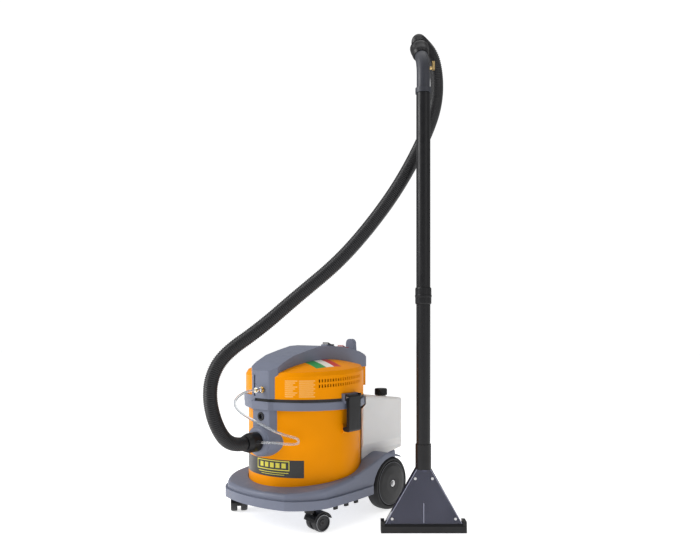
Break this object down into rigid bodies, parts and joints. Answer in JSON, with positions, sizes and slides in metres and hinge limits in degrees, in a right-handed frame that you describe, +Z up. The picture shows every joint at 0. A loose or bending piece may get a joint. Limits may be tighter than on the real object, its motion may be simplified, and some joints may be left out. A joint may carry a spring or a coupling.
{
  "type": "spot extractor",
  "caption": "Wheeled spot extractor: round recovery tank with lift-off motor head, rear solution tank, suction hose and upright hand wand with clear floor tool.",
  "frame": {"origin": "bottom centre of the whole object without its hose and tube, on the floor", "axes": "+Z up; -Y is the front of the machine, where the hose enters; +X is the side where the wand stands"},
  "size_m": [0.677, 0.6806, 1.3826],
  "materials": {
    "grey_plastic": "moulded blue-grey plastic, fine satin grain",
    "yellow_plastic": "glossy orange-yellow moulded plastic",
    "black_plastic": "satin black moulded plastic",
    "black_gloss": "glossy black switch plastic",
    "red_plastic": "glossy red switch plastic",
    "white_plastic": "natural white moulded plastic",
    "tank_white": "translucent blow-moulded polyethylene",
    "grip_grey": "dark grey grip plastic",
    "hose_black": "ribbed black vinyl hose",
    "black_rubber": "matt black rubber",
    "caster_tread": "black wheel with a pale rim ring",
    "tyre": "soft black tyre",
    "clear_pvc": "clear flexible tube",
    "smoke_clear": "smoke tinted clear plastic",
    "steel": "plain brushed steel",
    "aluminium": "cast aluminium",
    "chrome": "polished plating",
    "brass": "turned brass"
  },
  "bodies": {
    "base": {"base_trolley": "grey_plastic", "skirt_buffers": "black_rubber", "wheel_guards": "grey_plastic", "rear_axle": "steel", "recovery_tank": "yellow_plastic", "inlet_panel": "grey_plastic", "port_bush": "black_rubber", "hose_cuff": "black_plastic", "inlet_deflector": "grey_plastic", "vacuum_hose_lower": "hose_black", "solution_tube": "clear_pvc"},
    "head": {"head_ring": "grey_plastic", "head_seals": "black_rubber", "hood": "yellow_plastic", "handle_band": "grey_plastic", "switch_bezels": "grey_plastic", "cable_hook": "grey_plastic", "cable_gland": "black_rubber", "hood_screws": "steel", "fan_housing": "aluminium", "motor_can": "steel", "float_cage": "white_plastic", "solution_pump": "black_plastic", "coupling_socket": "brass", "latch_pins": "steel"},
    "latch_left": {"latch_left": "black_plastic"},
    "latch_right": {"latch_right": "black_plastic"},
    "vacuum_rocker": {"switch_vacuum": "black_gloss"},
    "pump_rocker": {"switch_pump": "red_plastic"},
    "impeller": {"impeller": "aluminium"},
    "float_ball": {"float_ball": "white_plastic"},
    "coupling_sleeve": {"coupling_sleeve": "chrome"},
    "caster_left": {"caster_left_frame": "black_plastic"},
    "caster_right": {"caster_right_frame": "black_plastic"},
    "caster_left_inner_wheel": {"caster_left_inner_wheel": "caster_tread"},
    "caster_left_outer_wheel": {"caster_left_outer_wheel": "caster_tread"},
    "caster_right_inner_wheel": {"caster_right_inner_wheel": "caster_tread"},
    "caster_right_outer_wheel": {"caster_right_outer_wheel": "caster_tread"},
    "rear_wheel_left": {"rear_hub_left": "black_plastic", "rear_tyre_left": "tyre"},
    "rear_wheel_right": {"rear_hub_right": "black_plastic", "rear_tyre_right": "tyre"},
    "solution_tank": {"solution_tank": "tank_white", "pickup_tube": "white_plastic"},
    "cap_liner": {"cap_liner": "black_rubber"},
    "solution_cap": {"solution_cap": "black_plastic"},
    "wand": {"tool_lip": "black_plastic", "tool_window": "smoke_clear", "tool_back_shell": "black_plastic", "tool_screws": "steel", "spray_nozzle": "brass", "wand_tube_lower": "black_plastic", "wand_tube_upper": "black_plastic", "wand_collar": "black_plastic", "wand_grip": "grip_grey", "hose_swivel": "black_plastic", "wand_valve": "brass", "spray_line": "steel", "vacuum_hose_upper": "hose_black"},
    "trigger": {"trigger": "black_plastic"}
  },
  "joints": [
    {"name": "head_lift", "type": "slide", "parent": "base", "child": "head", "axis": [0, 0, 1], "range_m": [0, 0.16]},
    {"name": "latch_left_swing", "type": "hinge", "parent": "head", "child": "latch_left", "pos_m": [-0.32465, -0.036, 0.3575], "axis": [0, 1, 0], "range_deg": [0, 100]},
    {"name": "latch_right_swing", "type": "hinge", "parent": "head", "child": "latch_right", "pos_m": [0.05365, -0.036, 0.3575], "axis": [0, -1, 0], "range_deg": [0, 100]},
    {"name": "vacuum_switch", "type": "hinge", "parent": "head", "child": "vacuum_rocker", "pos_m": [-0.1355, 0.066, 0.49], "axis": [1, 0, 0], "range_deg": [0, 12]},
    {"name": "pump_switch", "type": "hinge", "parent": "head", "child": "pump_rocker", "pos_m": [-0.1355, 0.136, 0.4795], "axis": [1, 0, 0], "range_deg": [0, 12]},
    {"name": "impeller_spin", "type": "hinge", "parent": "head", "child": "impeller", "pos_m": [-0.1355, -0.036, 0.35], "axis": [0, 0, 1], "continuous": true},
    {"name": "float_rise", "type": "slide", "parent": "head", "child": "float_ball", "axis": [0, 0, 1], "range_m": [0, 0.024]},
    {"name": "coupling_release", "type": "slide", "parent": "head", "child": "coupling_sleeve", "axis": [0, 1, 0], "range_m": [0, 0.004], "stiffness_N_per_m": 600},
    {"name": "caster_left_swivel", "type": "hinge", "parent": "base", "child": "caster_left", "pos_m": [-0.2795, -0.167, 0.06], "axis": [0, 0, 1], "continuous": true},
    {"name": "caster_left_inner_roll", "type": "hinge", "parent": "caster_left", "child": "caster_left_inner_wheel", "pos_m": [-0.30048, -0.15001, 0.025], "axis": [0.6293, 0.7771, 0], "continuous": true},
    {"name": "caster_left_outer_roll", "type": "hinge", "parent": "caster_left", "child": "caster_left_outer_wheel", "pos_m": [-0.30048, -0.15001, 0.025], "axis": [0.6293, 0.7771, 0], "continuous": true},
    {"name": "caster_right_swivel", "type": "hinge", "parent": "base", "child": "caster_right", "pos_m": [0.0085, -0.167, 0.06], "axis": [0, 0, 1], "continuous": true},
    {"name": "caster_right_inner_roll", "type": "hinge", "parent": "caster_right", "child": "caster_right_inner_wheel", "pos_m": [0.01411, -0.14059, 0.025], "axis": [0.9781, -0.2079, 0], "continuous": true},
    {"name": "caster_right_outer_roll", "type": "hinge", "parent": "caster_right", "child": "caster_right_outer_wheel", "pos_m": [0.01411, -0.14059, 0.025], "axis": [0.9781, -0.2079, 0], "continuous": true},
    {"name": "rear_wheel_left_roll", "type": "hinge", "parent": "base", "child": "rear_wheel_left", "pos_m": [-0.1355, 0.156, 0.079], "axis": [1, 0, 0], "continuous": true},
    {"name": "rear_wheel_right_roll", "type": "hinge", "parent": "base", "child": "rear_wheel_right", "pos_m": [-0.1355, 0.156, 0.079], "axis": [1, 0, 0], "continuous": true},
    {"name": "solution_tank_pull", "type": "slide", "parent": "base", "child": "solution_tank", "axis": [0, 0.9929, 0.1191], "range_m": [0, 0.15]},
    {"name": "cap_rise", "type": "slide", "parent": "solution_tank", "child": "cap_liner", "axis": [0, 0, 1], "range_m": [0, 0.0121]},
    {"name": "cap_turn", "type": "hinge", "parent": "cap_liner", "child": "solution_cap", "pos_m": [-0.0365, 0.207, 0.35], "axis": [0, 0, 1], "range_deg": [0, 1080]},
    {"name": "wand_lift", "type": "slide", "parent": "base", "child": "wand", "axis": [0, 0, 1], "range_m": [0, 0.12]},
    {"name": "trigger_pull", "type": "hinge", "parent": "wand", "child": "trigger", "pos_m": [0.22343, 0.05315, 1.243], "axis": [-0.766, -0.6428, 0], "range_deg": [0, 5], "stiffness_Nm_per_rad": 0.6}
  ],
  "couplings": [
    {"joint": "cap_rise", "follows": "cap_turn", "m_per_rad": 0.00063662}
  ]
}
